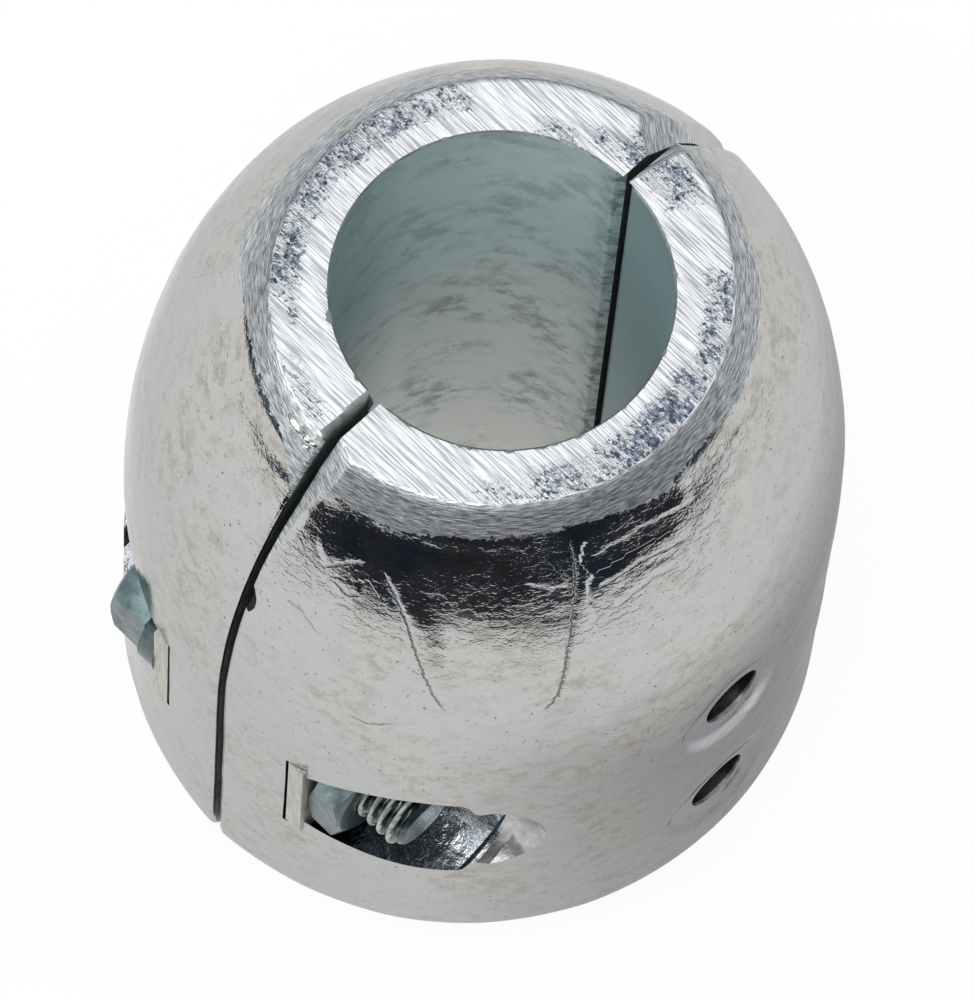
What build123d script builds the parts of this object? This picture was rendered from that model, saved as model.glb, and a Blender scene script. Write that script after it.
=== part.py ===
from build123d import *
import math
import os

os.makedirs("parts", exist_ok=True)

# A two-piece zinc collar anode for a propeller shaft. Millimetres. The shaft runs along Z through the
# origin and the collar stands on its flat base at z = 0. The two castings meet at the plane y = 0.

# Collar. Each half's skin is struck from a centre that lies half_closing past the seam, so the closed
# pair is a little oval, while its bore stays round.
shaft_diameter = 25.0
body_diameter = 56.0
body_length = 62.0
half_closing = 0.9
base_round = 3.0

# Nose: a sawn flat ring, a turned band round it, then the cast shoulder that swells to the full body
ring_diameter = 35.0
band_diameter = 38.6
band_depth = 2.1
nose_length = 34.0
shoulder_angle = 52.0
shoulder_pull = 9.0
side_pull = 14.5

# Seam between the castings
seam_gap = 0.6
seam_bevel = 1.3
seam_edge_break = 0.6

# Steel strap cast into each half: a band round the bore with a lug out to the skin at each end
strap_thickness = 1.5
strap_height = 12.0
strap_cover = 1.5
strap_bend_radius = 2.0
lug_seat = 8.0

# Strap locating pins, which leave two dished holes in each casting
pin_diameter = 5.2
pin_clearance = 0.25
pin_floor_cover = 1.7
dish_diameter = 12.0
dish_depth = 0.5

# Bolt pockets: a round core from the lug to rib_overrun past the skin at the bolt, a thin rib beside it,
# then the run-out
pocket_diameter = 14.0
rib_overrun = 1.1
rib_diameter = 11.0
rib_width = 1.0
runout_diameter = 12.2

# M6 hardware. Each bolt stands bolt_standoff clear of the strap's band, and bolt_share of the zinc
# outside the band further out.
bolt_height = 21.0
bolt_standoff = 2.0
bolt_share = 0.288
bolt_diameter = 6.0
bolt_length = 25.0
bolt_tip_chamfer = 0.7
head_across_flats = 10.0
head_height = 4.0
nut_across_flats = 10.0
nut_height = 3.2
hex_chamfer_angle = 30.0
hex_face_share = 0.95
washer_diameter = 11.8
washer_thickness = 1.6
washer_split = 0.8
washer_split_angle = 20.0
thread_clearance = 0.05
washer_clearance = 0.15
lug_hole_clearance = 0.3
casting_hole_clearance = 0.6

# Places worked out from the sizes above
bore_radius = shaft_diameter / 2
body_radius = body_diameter / 2
band_inner_radius = bore_radius + strap_cover
band_outer_radius = band_inner_radius + strap_thickness
lug_middle = lug_seat - strap_thickness / 2
lug_reach = math.sqrt(body_radius**2 - (lug_middle + half_closing) ** 2)
bolt_offset = band_outer_radius + bolt_standoff + bolt_share * (body_radius - band_outer_radius)
bolt_radius = bolt_diameter / 2
pocket_end = math.sqrt(body_radius**2 - bolt_offset**2) - half_closing + rib_overrun
pin_offset = strap_height / 2 + pin_clearance + pin_diameter / 2
outside = body_diameter


def outline_face():
    """Half section of the solid body in the XZ plane, from its axis to the skin."""
    ring_edge = (ring_diameter / 2, body_length)
    band_edge = (band_diameter / 2, body_length - band_depth)
    nose_end = (body_radius, body_length - nose_length)
    angle = math.radians(shoulder_angle)
    shoulder_handle = (
        band_edge[0] + shoulder_pull * math.cos(angle),
        band_edge[1] - shoulder_pull * math.sin(angle),
    )
    side_handle = (body_radius, nose_end[1] + side_pull)
    with BuildSketch(Plane.XZ) as sketch:
        with BuildLine():
            Polyline((body_radius, base_round), nose_end)
            Bezier(nose_end, side_handle, shoulder_handle, band_edge)
            Polyline(
                band_edge,
                ring_edge,
                (0, body_length),
                (0, 0),
                (body_radius - base_round, 0),
            )
            CenterArc((body_radius - base_round, base_round), base_round, -90, 90)
        make_face()
    return sketch.sketch


def half_blank():
    """The half at negative Y, bored, with one outer seam edge bevelled and the other rounded."""
    collar = Pos(0, half_closing, 0) * revolve(outline_face(), Axis.Z, 360)
    collar -= Cylinder(bore_radius, 4 * body_length)
    keep = Pos(0, -seam_gap / 2, 0) * Box(
        2 * outside,
        2 * outside,
        4 * body_length,
        align=(Align.CENTER, Align.MAX, Align.CENTER),
    )
    half = collar & keep
    half = chamfer(bore_edges(half), seam_edge_break)
    left_face = half.faces().filter_by(Axis.Y).sort_by(Axis.X)[0]
    half = chamfer(outer_seam_edges(left_face), seam_bevel)
    right_face = half.faces().filter_by(Axis.Y).sort_by(Axis.X)[-1]
    return fillet(outer_seam_edges(right_face), seam_edge_break)


def outer_seam_edges(face):
    """The cast edges of a seam face, from the turned band down the skin to the base."""
    reach = [edge for edge in face.edges() if abs(edge.center().X) > band_diameter / 2]
    return ShapeList(edge for edge in reach if edge.center().Z > 0)


def bore_edges(half):
    """The two straight edges where the bore meets the seam."""
    upright = half.edges().filter_by(Axis.Z)
    return ShapeList(edge for edge in upright if abs(edge.center().X) < bore_radius)


def along_y(radius, start, end, x, z, end_radius=None):
    """A round bar on a line parallel to Y, from y = start to y = end."""
    length = abs(end - start)
    plane = Plane(origin=(x, start, z), z_dir=(0, math.copysign(1, end - start), 0))
    if end_radius is None:
        return plane * Cylinder(radius, length, align=(Align.CENTER, Align.CENTER, Align.MIN))
    return plane * Cone(
        radius, end_radius, length, align=(Align.CENTER, Align.CENTER, Align.MIN)
    )


def strap_section(reach):
    """The strap seen along the shaft: a band round the bore, bent out into two lugs."""
    middle = band_inner_radius + strap_thickness / 2
    bend = strap_bend_radius + strap_thickness / 2
    bend_y = lug_middle + bend
    bend_x = math.sqrt((middle + bend) ** 2 - bend_y**2)
    slope = math.degrees(math.atan2(bend_y, bend_x))

    def edges(shift):
        """The strap's line, moved away from the shaft by shift."""
        lug_y = -(lug_middle + shift)
        radius = middle + shift
        bend_radius = bend - shift
        band = CenterArc((0, 0), radius, 180 + slope, 180 - 2 * slope)
        right = CenterArc((bend_x, -bend_y), bend_radius, 90, 90 - slope)
        left = CenterArc((-bend_x, -bend_y), bend_radius, slope, 90 - slope)
        right_lug = Line((bend_x, lug_y), (reach, lug_y))
        left_lug = Line((-bend_x, lug_y), (-reach, lug_y))
        return [left_lug, left, band, right, right_lug]

    near = edges(-strap_thickness / 2)
    far = edges(strap_thickness / 2)
    ends = [
        Line((side * reach, -lug_seat), (side * reach, -lug_seat + strap_thickness))
        for side in (-1, 1)
    ]
    return make_face(near + far + ends)


def strap_bar(reach):
    """The strap's section at its full height, centred on the bolts."""
    section = Pos(0, 0, bolt_height - strap_height / 2) * strap_section(reach)
    return extrude(section, strap_height)


def strap():
    """One steel strap at negative Y, drilled for both bolts."""
    bar = strap_bar(lug_reach)
    for side in (-1, 1):
        hole = bolt_radius + lug_hole_clearance
        bar -= along_y(hole, 0, -outside, side * bolt_offset, bolt_height)
    return bar


def pocket(side):
    """What the pocket core leaves open on one side, from the lug to the skin."""
    x = side * bolt_offset
    rib_end = pocket_end + rib_width
    core = along_y(pocket_diameter / 2, -lug_seat, -pocket_end, x, bolt_height)
    core += along_y(rib_diameter / 2, -pocket_end, -rib_end, x, bolt_height)
    core += along_y(runout_diameter / 2, -rib_end, -outside, x, bolt_height)
    return core


def pin_hole(z):
    """One locating pin's blind hole with its dish in the skin."""
    floor = -(bore_radius + pin_floor_cover)
    slope = (dish_diameter - pin_diameter) / 2 / dish_depth
    hole = along_y(pin_diameter / 2, floor, -outside, 0, z)
    skin = -(body_radius - half_closing)
    mouth_radius = dish_diameter / 2 + slope * dish_depth
    dish = along_y(pin_diameter / 2, skin + dish_depth, skin - dish_depth, 0, z, mouth_radius)
    return hole + dish


def casting():
    """One zinc half at negative Y."""
    half = half_blank()
    for side in (-1, 1):
        hole = bolt_radius + casting_hole_clearance
        half -= along_y(hole, 0, -lug_seat, side * bolt_offset, bolt_height)
        half -= pocket(side)
    for side in (-1, 1):
        half -= pin_hole(bolt_height + side * pin_offset)
    return half - strap_bar(outside)


def hexagon(across_flats, height, both_ends):
    """A hexagonal prism standing on the XY plane with flats facing X and chamfered corners."""
    prism = extrude(RegularPolygon(across_flats / 2, 6, major_radius=False, rotation=30), height)
    face_radius = across_flats / 2 * hex_face_share
    foot_radius = face_radius + height / math.tan(math.radians(hex_chamfer_angle))
    from_below = (Align.CENTER, Align.CENTER, Align.MIN)
    prism &= Cone(foot_radius, face_radius, height, align=from_below)
    if both_ends:
        prism &= Cone(face_radius, foot_radius, height, align=from_below)
    return prism


def bolt():
    """An M6 bolt standing head down: the head's bearing face is the XY plane and the shank rises."""
    head = Rot(180, 0, 0) * hexagon(head_across_flats, head_height, False)
    shank = Cylinder(bolt_radius, bolt_length, align=(Align.CENTER, Align.CENTER, Align.MIN))
    shank = chamfer(shank.edges().sort_by(Axis.Z)[-1], bolt_tip_chamfer)
    return head + shank


def nut():
    """A thin M6 nut standing on the XY plane."""
    bore = Cylinder(bolt_radius + thread_clearance, 3 * nut_height)
    return hexagon(nut_across_flats, nut_height, True) - bore


def spring_washer():
    """A split lock washer, tightened flat, standing on the XY plane."""
    from_below = (Align.CENTER, Align.CENTER, Align.MIN)
    ring = Cylinder(washer_diameter / 2, washer_thickness, align=from_below)
    ring -= Cylinder(bolt_radius + washer_clearance, 3 * washer_thickness)
    slot = Box(
        washer_diameter, washer_split, 4 * washer_thickness, align=(Align.MIN, Align.CENTER, Align.CENTER)
    )
    return ring - Pos(0, 0, washer_thickness / 2) * Rot(washer_split_angle, 0, 0) * slot


def along_bolt(side, y, towards):
    """The place on one bolt's axis at height y, its Z pointing along Y in the given sense."""
    place = (side * bolt_offset, y, bolt_height)
    return Plane(origin=place, x_dir=(1, 0, 0), z_dir=(0, towards, 0))


front_half = casting()
front_strap = strap()
half_turn = Rot(0, 0, 180)
pieces = {
    "front_half": front_half,
    "back_half": half_turn * front_half,
    "front_strap": front_strap,
    "back_strap": half_turn * front_strap,
}
for name, side in (("left", -1), ("right", 1)):
    head_seat = lug_seat + washer_thickness
    pieces[f"{name}_bolt"] = along_bolt(side, head_seat, -1) * bolt()
    pieces[f"{name}_spring_washer"] = along_bolt(side, lug_seat, 1) * spring_washer()
    pieces[f"{name}_nut"] = along_bolt(side, -lug_seat, -1) * nut()

for name, piece in pieces.items():
    export_step(piece, f"parts/{name}.step")
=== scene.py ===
import math

import bmesh
import bpy
import numpy as np
from mathutils import Matrix, Vector, noise


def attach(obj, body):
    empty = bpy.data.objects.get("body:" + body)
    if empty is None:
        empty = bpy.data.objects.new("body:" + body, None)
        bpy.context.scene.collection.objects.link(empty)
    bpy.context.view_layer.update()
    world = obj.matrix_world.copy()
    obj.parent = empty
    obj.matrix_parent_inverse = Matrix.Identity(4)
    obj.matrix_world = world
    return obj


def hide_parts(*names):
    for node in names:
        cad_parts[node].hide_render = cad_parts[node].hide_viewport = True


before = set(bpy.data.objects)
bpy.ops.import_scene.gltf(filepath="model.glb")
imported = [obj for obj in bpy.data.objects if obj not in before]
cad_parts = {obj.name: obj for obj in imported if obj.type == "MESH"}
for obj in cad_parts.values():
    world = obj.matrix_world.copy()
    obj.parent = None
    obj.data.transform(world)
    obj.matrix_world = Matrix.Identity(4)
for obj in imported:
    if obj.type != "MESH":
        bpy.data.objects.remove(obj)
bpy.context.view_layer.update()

# The collar's own sizes, in millimetres, as the frame's solids have them.
MM = 0.001
BORE_R = 12.5
BODY_R = 28.0
HEIGHT = 62.0
HALF_CLOSING = 0.9
BASE_ROUND = 3.0
RING_R = 17.5
BAND_R = 19.3
BAND_DEPTH = 2.1
NOSE_LENGTH = 34.0
SHOULDER_ANGLE = 52.0
SHOULDER_PULL = 9.0
SIDE_PULL = 14.5
SEAM_GAP = 0.6
SEAM_BEVEL = 1.3
EDGE_BREAK = 0.6
LUG_SEAT = 8.0
STRAP_THICKNESS = 1.5
STRAP_HEIGHT = 12.0
BOLT_OFFSET = 21.1
BOLT_Z = 21.0
BOLT_R = 3.0
BOLT_LENGTH = 25.0
HEAD_HEIGHT = 4.0
ACROSS_FLATS = 10.0
WASHER_THICKNESS = 1.6
POCKET_R = 7.0
POCKET_END = 18.606
RIB_R = 5.5
RIB_WIDTH = 1.0
RUNOUT_R = 6.1
PIN_R = 2.6
PIN_OFFSET = 8.85
PIN_FLOOR = 14.2
HOLE_CLEARANCE = 0.6


# ---- Camera ----

CAMERA_AZIMUTH = math.radians(-50.3)
CAMERA_ELEVATION = math.radians(67.46)
CAMERA_ROLL = math.radians(6.11)
CAMERA_DISTANCE = 649.3
CAMERA_AIM = (-1.1, -15.19)
CAMERA_LENS = 324.0
CAMERA_SENSOR = 36.0


def add_camera():
    """The camera looks down on the nose, its aim moved in its own plane from the bore's mouth."""
    side = math.sin(CAMERA_AZIMUTH)
    away = math.cos(CAMERA_AZIMUTH)
    level = math.cos(CAMERA_ELEVATION)
    forward = Vector((-side * level, away * level, -math.sin(CAMERA_ELEVATION)))
    flat_right = Vector((away, side, 0))
    flat_up = flat_right.cross(forward)
    right = math.cos(CAMERA_ROLL) * flat_right + math.sin(CAMERA_ROLL) * flat_up
    up = math.cos(CAMERA_ROLL) * flat_up - math.sin(CAMERA_ROLL) * flat_right
    place = Vector((0, 0, HEIGHT)) - forward * CAMERA_DISTANCE
    place += CAMERA_AIM[0] * right + CAMERA_AIM[1] * up
    data = bpy.data.cameras.new("camera")
    data.lens = CAMERA_LENS
    data.sensor_width = CAMERA_SENSOR
    camera = bpy.data.objects.new("camera", data)
    axes = Matrix((right, up, -forward)).transposed()
    camera.matrix_world = Matrix.Translation(place * MM) @ axes.to_4x4()
    bpy.context.scene.collection.objects.link(camera)
    bpy.context.scene.camera = camera


# ---- Shader helpers ----


def add_node(tree, kind, inputs=None, **settings):
    """A new node with its settings, each input linked from a socket or set to a value."""
    made = tree.nodes.new(kind)
    for key, value in settings.items():
        setattr(made, key, value)
    for key, value in (inputs or {}).items():
        socket = made.inputs[key]
        if isinstance(value, bpy.types.NodeSocket):
            tree.links.new(value, socket)
        else:
            socket.default_value = value
    return made


class Shader:
    """One material's node tree, with its Principled shader."""

    def __init__(self, name, color, metallic, roughness):
        self.material = bpy.data.materials.new(name)
        self.material.use_nodes = True
        self.nodes = self.material.node_tree.nodes
        self.links = self.material.node_tree.links
        self.bsdf = self.nodes["Principled BSDF"]
        self.bsdf.inputs["Base Color"].default_value = (*color, 1)
        self.bsdf.inputs["Metallic"].default_value = metallic
        self.bsdf.inputs["Roughness"].default_value = roughness

    def add(self, kind, inputs=None, **settings):
        return add_node(self.material.node_tree, kind, inputs, **settings)

    def coords(self, stretch=(1, 1, 1), turn=(0, 0, 0)):
        """Object coordinates in millimetres, stretched or turned."""
        place = self.add("ShaderNodeTexCoord").outputs["Object"]
        mapping = self.add(
            "ShaderNodeMapping",
            {"Vector": place, "Scale": [s / MM for s in stretch], "Rotation": turn},
        )
        return mapping.outputs["Vector"]

    def noise(self, vector, wavelength, detail=4.0, roughness=0.55, distortion=0.0):
        made = self.add(
            "ShaderNodeTexNoise",
            {
                "Vector": vector,
                "Scale": 1 / wavelength,
                "Detail": detail,
                "Roughness": roughness,
                "Distortion": distortion,
            },
        )
        return made.outputs["Fac"]

    def range(self, value, low, high, to_low=0.0, to_high=1.0):
        made = self.add(
            "ShaderNodeMapRange",
            {
                "Value": value,
                "From Min": low,
                "From Max": high,
                "To Min": to_low,
                "To Max": to_high,
            },
        )
        return made.outputs["Result"]

    def math(self, operation, first, second=0.0):
        made = self.add("ShaderNodeMath", {0: first, 1: second}, operation=operation)
        return made.outputs["Value"]

    def mix(self, factor, first, second):
        made = self.add(
            "ShaderNodeMix", {"Factor": factor}, data_type="RGBA", blend_type="MIX"
        )
        for index, value in ((6, first), (7, second)):
            if isinstance(value, bpy.types.NodeSocket):
                self.links.new(value, made.inputs[index])
            else:
                made.inputs[index].default_value = (*value, 1)
        return made.outputs[2]

    def bump(self, height, distance, strength=1.0, normal=None):
        inputs = {"Height": height, "Distance": distance * MM, "Strength": strength}
        if normal is not None:
            inputs["Normal"] = normal
        return self.add("ShaderNodeBump", inputs).outputs["Normal"]

    def mask(self, name):
        return self.add("ShaderNodeAttribute", attribute_name=name).outputs["Fac"]

    def set(self, name, value):
        self.links.new(value, self.bsdf.inputs[name])


# ---- Materials ----

# The way the saw went over the nose, in degrees, and the level direction across the camera's view,
# along which a painted shade darkens the bore's wall to both sides. Then the turned band's finest
# marks.
SAW_ANGLE = -3.0
ACROSS_VIEW = (0.711, -0.703, 0)
TURNING_WIDTH = 0.11


def outer_zinc():
    """The outside of a casting: bright cast skin with stains, and the turned band that meets it on
    an uneven line round the nose."""
    s = Shader("outer_zinc", (0.6, 0.6, 0.58), 1.0, 0.16)
    s.bsdf.inputs["Specular Tint"].default_value = (0.8, 0.8, 0.8, 1)
    place = s.coords()
    ragged = s.noise(place, 0.7, 2.0, 0.6)
    border = s.math("ADD", s.mask("border"), s.range(ragged, 0.3, 0.7, -0.3, 0.3))
    turned = s.range(border, -0.03, 0.03, 1.0, 0.0)
    cloud = s.noise(place, 6.0, 1.0)
    lumps = s.noise(s.coords((0.6, 0.6, 1)), 2.6, 2.0)
    folds = s.noise(s.coords((0.5, 0.5, 1)), 0.55, 3.0, 0.65)
    grain = s.noise(s.coords((0.8, 0.8, 1)), 0.24, 1.0, 0.6)
    uneven = s.range(cloud, 0.4, 0.6, 0.3, 1.0)
    uneven = s.math("MULTIPLY", uneven, s.range(s.mask("calm"), 0.0, 1.0, 1.0, 0.3))
    height = s.math("MULTIPLY", s.range(folds, 0.46, 0.58, 0.0, 0.28), uneven)
    height = s.math("ADD", s.math("ADD", height, lumps), s.math("MULTIPLY", grain, 0.2))
    wander = s.math("MULTIPLY", s.math("SUBTRACT", folds, 0.5), 0.6)
    away = s.math("ADD", s.mask("crease"), wander)
    groove = s.range(s.math("ABSOLUTE", away), 0.02, 0.13, 1.0, 0.0)
    lap = s.range(away, -0.12, 0.3, 0.0, 1.4)
    crease = s.math("MULTIPLY", s.math("SUBTRACT", lap, groove), s.mask("crease_strength"))
    height = s.math("ADD", height, crease)
    bumped = s.bump(height, 0.05)
    stain = s.noise(s.coords((0.8, 0.8, 1)), 1.3, 4.0, 0.8)
    area = s.range(s.noise(place, 9.0, 2.0), 0.42, 0.62)
    skin = s.mix(area, (0.57, 0.575, 0.572), (0.585, 0.572, 0.545))
    stained = s.math("MULTIPLY", s.range(area, 0.0, 1.0, 0.25, 1.0), s.range(stain, 0.47, 0.62))
    skin = s.mix(s.math("MULTIPLY", stained, 0.62), skin, (0.36, 0.335, 0.3))
    specks = s.range(s.noise(place, 0.4, 2.0, 0.65), 0.66, 0.71, 0.0, 0.75)
    skin = s.mix(specks, skin, (0.15, 0.14, 0.13))
    # Painted shade: a dark line along each crease's groove.
    darkening = s.math("MULTIPLY", groove, s.mask("crease_strength"))
    skin = s.mix(s.math("MULTIPLY", darkening, 0.8), skin, (0.14, 0.13, 0.12))
    # Painted reflection: a blue-grey tint round the pin holes, where the dents' slopes mirror the
    # table.
    skin = s.mix(s.math("MULTIPLY", s.mask("dish"), 0.7), skin, (0.56, 0.6, 0.65))
    strokes_in = s.add("ShaderNodeCombineXYZ", {"X": s.mask("turn_line"), "Y": s.mask("turn_arc")})
    strokes = s.noise(strokes_in.outputs["Vector"], TURNING_WIDTH, 3.0, 0.65)
    band = s.mix(s.range(strokes, 0.42, 0.6), (0.3, 0.325, 0.345), (0.95, 0.97, 0.98))
    s.set("Base Color", s.mix(turned, skin, band))
    skin_rough = s.range(cloud, 0.3, 0.7, 0.06, 0.17)
    s.set("Roughness", s.range(turned, 0.0, 1.0, skin_rough, 0.34))
    brushed = s.bump(strokes, 0.035)
    normal = s.add("ShaderNodeMix", {0: turned}, data_type="VECTOR", factor_mode="UNIFORM")
    s.links.new(bumped, normal.inputs[4])
    s.links.new(brushed, normal.inputs[5])
    s.set("Normal", normal.outputs[1])
    return s.material


def sawn_ring():
    """The nose face, sawn across the seam: bright parallel marks, and rough dark patches."""
    s = Shader("sawn_ring", (0.7, 0.7, 0.7), 1.0, 0.3)
    across = s.coords((1, 0.03, 1), (0, 0, math.radians(SAW_ANGLE)))
    marks = s.noise(across, 0.13, 3.0, 0.6)
    crumbs = s.noise(s.coords((1, 0.7, 1), (0, 0, math.radians(30))), 0.26, 3.0, 0.7)
    wide = s.noise(s.coords(), 1.6, 3.0, 0.6)
    share = s.math("MULTIPLY", s.mask("ring_patch"), s.range(wide, 0.34, 0.56))
    pits = s.range(s.math("ADD", crumbs, s.math("MULTIPLY", share, 0.17)), 0.58, 0.68)
    pits = s.math("MULTIPLY", pits, s.range(s.mask("ring_patch"), 0.02, 0.3))
    color = s.mix(s.range(marks, 0.4, 0.56), (0.34, 0.35, 0.375), (0.75, 0.76, 0.775))
    hues = s.range(s.noise(s.coords(), 0.5, 2.0), 0.4, 0.6)
    pit = s.mix(hues, (0.04, 0.06, 0.09), (0.2, 0.26, 0.33))
    s.set("Base Color", s.mix(pits, color, pit))
    lines = s.bump(marks, 0.025)
    s.set("Normal", s.bump(s.math("MULTIPLY", crumbs, s.mask("ring_patch")), 0.14, 1.0, lines))
    return s.material


def bore_wall(name, mouth, depth, smeared):
    """The bore: dull teal grey at its mouth, made paler with depth by a painted light and darker to
    both sides across the view by a painted shade, with dark smears.
    """
    s = Shader(name, mouth, 0.3, 0.42)
    smear = s.noise(s.coords((0.7, 0.7, 1)), 1.8, 5.0, 0.75)
    cloud = s.noise(s.coords(), 5.0, 2.0)
    # Painted light: the wall turns paler with depth, as if lit from below.
    deep_light = s.range(s.mask("bore_depth_light"), 0.0, 1.0)
    shade = s.mix(deep_light, mouth, depth)
    # Painted shade: the wall darkens to both sides across the camera's view.
    across = s.add("ShaderNodeVectorMath", {0: s.coords(), 1: ACROSS_VIEW}, operation="DOT_PRODUCT")
    side_shade = s.range(s.math("ABSOLUTE", across.outputs["Value"]), 6.5, 12.3, 0.0, 0.85)
    shade = s.mix(side_shade, shade, (0.3, 0.44, 0.46))
    dark = s.math("MULTIPLY", s.range(smear, 0.47, 0.62), s.range(cloud, 0.38, 0.58))
    dark = s.math("MULTIPLY", dark, s.range(deep_light, 0.0, 0.5, 0.45 * smeared, 0.7 * smeared))
    split = s.add("ShaderNodeSeparateXYZ", {0: s.coords()})
    by_seam = s.range(s.math("ABSOLUTE", split.outputs["Y"]), 0.7, 2.4, smeared, 0.0)
    flecks = s.math("MULTIPLY", by_seam, s.range(s.noise(s.coords(), 1.1, 4.0, 0.7), 0.46, 0.6))
    dark = s.math("MAXIMUM", dark, flecks)
    s.set("Base Color", s.mix(dark, shade, (0.2, 0.22, 0.2)))
    s.set("Normal", s.bump(smear, 0.08))
    return s.material


def plain_zinc(name, color, roughness, wavelength, depth):
    """Zinc of one shade with an uneven surface, for the faces inside gaps and pockets."""
    s = Shader(name, color, 1.0, roughness)
    uneven = s.noise(s.coords(), wavelength, 4.0, 0.6)
    darker = tuple(0.55 * c for c in color)
    s.set("Base Color", s.mix(s.range(uneven, 0.35, 0.7), color, darker))
    s.set("Normal", s.bump(uneven, depth))
    return s.material


def plated_steel():
    """Zinc plating, a little blue, with faint cloudiness, its colour darkened to a painted shade as
    the nuts and bolt heads lie in the pockets.
    """
    s = Shader("plated_steel", (0.55, 0.62, 0.65), 1.0, 0.24)
    cloud = s.noise(s.coords(), 1.8, 3.0)
    # Painted shade: the plating is made dark, as if shaded by the pockets' walls.
    s.set("Base Color", s.mix(s.range(cloud, 0.35, 0.65), (0.15, 0.205, 0.21), (0.07, 0.1, 0.105)))
    s.set("Roughness", s.range(cloud, 0.3, 0.7, 0.2, 0.34))
    s.set("Normal", s.bump(s.noise(s.coords(), 0.5, 3.0), 0.01))
    return s.material


def crest_wear_and_glint():
    """The worn tops of the threads, pale and a little buff, made paler still as a painted highlight
    where the crests catch the light.
    """
    s = Shader("crest_wear_and_glint", (0.8, 0.79, 0.72), 0.6, 0.5)
    darkening = s.noise(s.coords(), 0.6, 3.0, 0.6)
    s.set("Base Color", s.mix(s.range(darkening, 0.4, 0.65), (0.7, 0.69, 0.62), (0.4, 0.4, 0.36)))
    return s.material


def strap_steel():
    """Sheared steel strip, buff grey, with shear marks along its edge."""
    s = Shader("strap_steel", (0.6, 0.58, 0.52), 0.7, 0.42)
    shear = s.noise(s.coords((1, 1, 0.15)), 0.35, 4.0, 0.6)
    s.set("Base Color", s.mix(s.range(shear, 0.35, 0.7), (0.64, 0.62, 0.56), (0.42, 0.40, 0.36)))
    s.set("Normal", s.bump(shear, 0.03))
    return s.material


# ---- The castings ----

# The kinds of surface that a half is made of, and the material number of each.
BORE, RING, BAND, SKIN, BASE, SEAM = range(6)
SHADE_OF = (0, 1, 2, 2, 3, 3)

# How fine a half's mesh is: millimetres between columns, their places by the seam, and how many
# rows each part of the section has. RIM is how far the first row lies from the ring's edges.
COLUMN_STEP = 0.3
EDGE_STEPS = (0.0, 0.1, 0.2, 0.3, 0.4, 0.52, 0.66, 0.82, 1.0, 1.2, 1.45)
BORE_ROWS = 24
RING_ROWS = 14
BAND_ROWS = (0.3, 0.5, 0.7, 0.86, 1.0)
NOSE_ROWS = 120
SIDE_ROWS = 40
ROUND_ROWS = 9
BASE_ROWS = 9
RIM = 0.12

# Where the turned band ends: angle round the collar, and distance down from the ring's edge.
BAND_BORDER = (
    (-180, 15.0), (-178.7, 14.0), (-177.6, 8.0), (-176.4, 4.0), (-171, 3.3), (-158, 3.7),
    (-145, 2.8), (-129, 2.5), (-122, 2.5), (-108, 2.7),
    (-96, 3.6), (-91, 2.9), (-84, 2.5), (-75, 2.75), (-67, 2.9), (-56, 3.15), (-47, 3.15),
    (-38, 3.2), (-31, 2.5), (-19, 2.75), (-9, 2.3), (-0.5, 2.6), (-0.4, 9.5), (0.9, 7.2),
    (4.1, 6.2), (7.5, 3.5), (12.7, 2.3), (17, 2.0),
    (32, 2.2), (46, 2.1), (61, 3.0), (71, 3.5), (80, 3.0), (89, 3.3), (94, 2.5), (103, 3.5),
    (110, 4.8), (116, 5.2), (126, 4.1), (137, 2.6), (144, 2.3), (157, 2.2), (168, 2.7),
    (172, 3.0), (175, 4.0), (177, 5.0), (180, 6.8),
)
# Rough patches on the ring: angle, half width, inner and outer radius, strength.
RING_PATCHES = (
    (112, 22, 14.6, 16.9, 1.0), (84, 9, 14.2, 16.6, 1.0), (66, 8, 14.2, 17.0, 0.7),
    (-5, 9, 13.6, 16.6, 0.9), (12, 3, 13.4, 15.0, 0.6), (28, 3, 12.6, 14.0, 0.7),
    (-58, 16, 14.6, 17.3, 0.8), (-88, 16, 13.9, 17.3, 1.0), (-112, 12, 14.2, 17.2, 0.8),
    (-130, 9, 15.0, 17.4, 0.45), (141, 2, 15.0, 15.6, 1.0), (165, 6, 15.8, 17.2, 0.5),
)
# Flow creases on the front half: (angle, height) points, then how strong each is.
CREASES = (
    (
        (
            (-157.7, 56.1), (-154.0, 54.3), (-150.8, 52.2),
            (-147.8, 48.9), (-144.6, 45.4), (-141.6, 42.9),
        ),
        1.0,
    ),
    (
        (
            (-119.8, 59.6), (-119.2, 56.8), (-120.7, 53.1),
            (-121.9, 50.0), (-123.7, 45.2), (-126.8, 42.7),
        ),
        1.0,
    ),
    (((-129.5, 56.4), (-127.8, 56.1), (-120.2, 55.5)), 0.6),
    (((-157.3, 39.7), (-154.4, 39.4), (-149.7, 40.6)), 0.8),
    (((-168.5, 54.2), (-164.8, 55.4), (-161.3, 56.2)), 0.9),
    (((-166.0, 53.6), (-163.0, 53.0), (-160.0, 53.4)), 0.6),
    (((-173.1, 49.5), (-169.6, 49.4), (-164.8, 47.7)), 0.5),
    (((-114.9, 54.9), (-106.0, 55.6), (-94.6, 55.1)), 0.6),
    (((-115.9, 57.5), (-104.0, 58.1), (-89.2, 57.2)), 0.5),
    (((-112.0, 52.6), (-104.0, 53.8), (-97.0, 53.2)), 0.4),
)
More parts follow.
